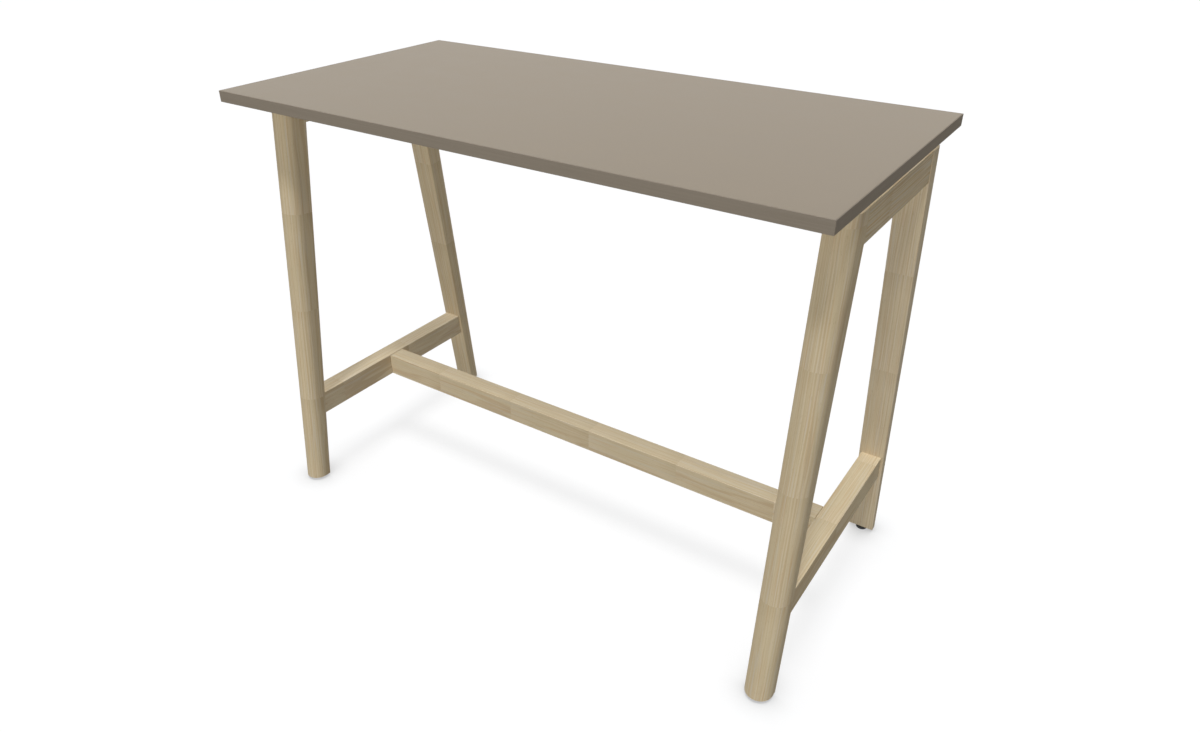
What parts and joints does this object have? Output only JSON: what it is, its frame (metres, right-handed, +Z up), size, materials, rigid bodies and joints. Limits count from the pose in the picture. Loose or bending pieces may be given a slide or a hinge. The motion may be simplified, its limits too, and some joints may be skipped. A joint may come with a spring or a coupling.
{
  "type": "standing meeting table",
  "caption": "Standing-height meeting table: a rectangular faced board on splayed timber end frames, with a footrest beam between them and screw-adjusted gliders.",
  "frame": {"origin": "on the floor under the middle of the top", "axes": "+X along the table's length, +Y towards its back, +Z up"},
  "size_m": [1.4, 0.7, 1.05],
  "materials": {
    "board": "taupe melamine facing on particle board, fine matt texture",
    "edge_band": "taupe edge band, satin",
    "timber": "pale solid hardwood in jointed staves, matt lacquer",
    "joinery_wood": "plain beech, unfinished",
    "zinc_steel": "bright zinc plated steel",
    "painted_steel": "dark powder coat, fine texture",
    "black_plastic": "black moulded nylon, satin"
  },
  "bodies": {
    "table": {"top_panel": "board", "edge_band_front": "edge_band", "edge_band_back": "edge_band", "edge_band_left": "edge_band", "edge_band_right": "edge_band", "leg_front_left": "timber", "leg_front_right": "timber", "leg_back_left": "timber", "leg_back_right": "timber", "top_rail_left": "timber", "stretcher_left": "timber", "top_rail_right": "timber", "stretcher_right": "timber", "footrest_beam": "timber", "rail_tenon_front_left": "joinery_wood", "stretcher_tenon_front_left": "joinery_wood", "beam_dowel_front_left": "joinery_wood", "top_spacer_front_left": "black_plastic", "top_bolt_front_left": "zinc_steel", "top_insert_front_left": "zinc_steel", "glider_insert_front_left": "zinc_steel", "rail_tenon_front_right": "joinery_wood", "stretcher_tenon_front_right": "joinery_wood", "beam_dowel_front_right": "joinery_wood", "top_spacer_front_right": "black_plastic", "top_bolt_front_right": "zinc_steel", "top_insert_front_right": "zinc_steel", "glider_insert_front_right": "zinc_steel", "rail_tenon_back_left": "joinery_wood", "stretcher_tenon_back_left": "joinery_wood", "beam_dowel_back_left": "joinery_wood", "top_spacer_back_left": "black_plastic", "top_bolt_back_left": "zinc_steel", "top_insert_back_left": "zinc_steel", "glider_insert_back_left": "zinc_steel", "rail_tenon_back_right": "joinery_wood", "stretcher_tenon_back_right": "joinery_wood", "beam_dowel_back_right": "joinery_wood", "top_spacer_back_right": "black_plastic", "top_bolt_back_right": "zinc_steel", "top_insert_back_right": "zinc_steel", "glider_insert_back_right": "zinc_steel", "beam_bolt_left": "zinc_steel", "beam_washer_left": "zinc_steel", "beam_nut_left": "zinc_steel", "beam_bolt_right": "zinc_steel", "beam_washer_right": "zinc_steel", "beam_nut_right": "zinc_steel", "top_stiffener_front": "painted_steel", "top_stiffener_back": "painted_steel"},
    "pad_front_left": {"glider_pad_front_left": "black_plastic"},
    "stem_front_left": {"glider_stem_front_left": "zinc_steel"},
    "pad_front_right": {"glider_pad_front_right": "black_plastic"},
    "stem_front_right": {"glider_stem_front_right": "zinc_steel"},
    "pad_back_left": {"glider_pad_back_left": "black_plastic"},
    "stem_back_left": {"glider_stem_back_left": "zinc_steel"},
    "pad_back_right": {"glider_pad_back_right": "black_plastic"},
    "stem_back_right": {"glider_stem_back_right": "zinc_steel"}
  },
  "joints": [
    {"name": "level_front_left", "type": "slide", "parent": "table", "child": "pad_front_left", "axis": [0, 0, -1], "range_m": [0, 0.01]},
    {"name": "turn_front_left", "type": "hinge", "parent": "pad_front_left", "child": "stem_front_left", "pos_m": [-0.667, -0.30868, 0], "axis": [0, 0, -1], "range_deg": [0, 3600]},
    {"name": "level_front_right", "type": "slide", "parent": "table", "child": "pad_front_right", "axis": [0, 0, -1], "range_m": [0, 0.01]},
    {"name": "turn_front_right", "type": "hinge", "parent": "pad_front_right", "child": "stem_front_right", "pos_m": [0.667, -0.30868, 0], "axis": [0, 0, -1], "range_deg": [0, 3600]},
    {"name": "level_back_left", "type": "slide", "parent": "table", "child": "pad_back_left", "axis": [0, 0, -1], "range_m": [0, 0.01]},
    {"name": "turn_back_left", "type": "hinge", "parent": "pad_back_left", "child": "stem_back_left", "pos_m": [-0.667, 0.30868, 0], "axis": [0, 0, -1], "range_deg": [0, 3600]},
    {"name": "level_back_right", "type": "slide", "parent": "table", "child": "pad_back_right", "axis": [0, 0, -1], "range_m": [0, 0.01]},
    {"name": "turn_back_right", "type": "hinge", "parent": "pad_back_right", "child": "stem_back_right", "pos_m": [0.667, 0.30868, 0], "axis": [0, 0, -1], "range_deg": [0, 3600]}
  ],
  "couplings": [
    {"joint": "turn_front_left", "follows": "level_front_left", "rad_per_m": 6283.2},
    {"joint": "turn_front_right", "follows": "level_front_right", "rad_per_m": 6283.2},
    {"joint": "turn_back_left", "follows": "level_back_left", "rad_per_m": 6283.2},
    {"joint": "turn_back_right", "follows": "level_back_right", "rad_per_m": 6283.2}
  ]
}
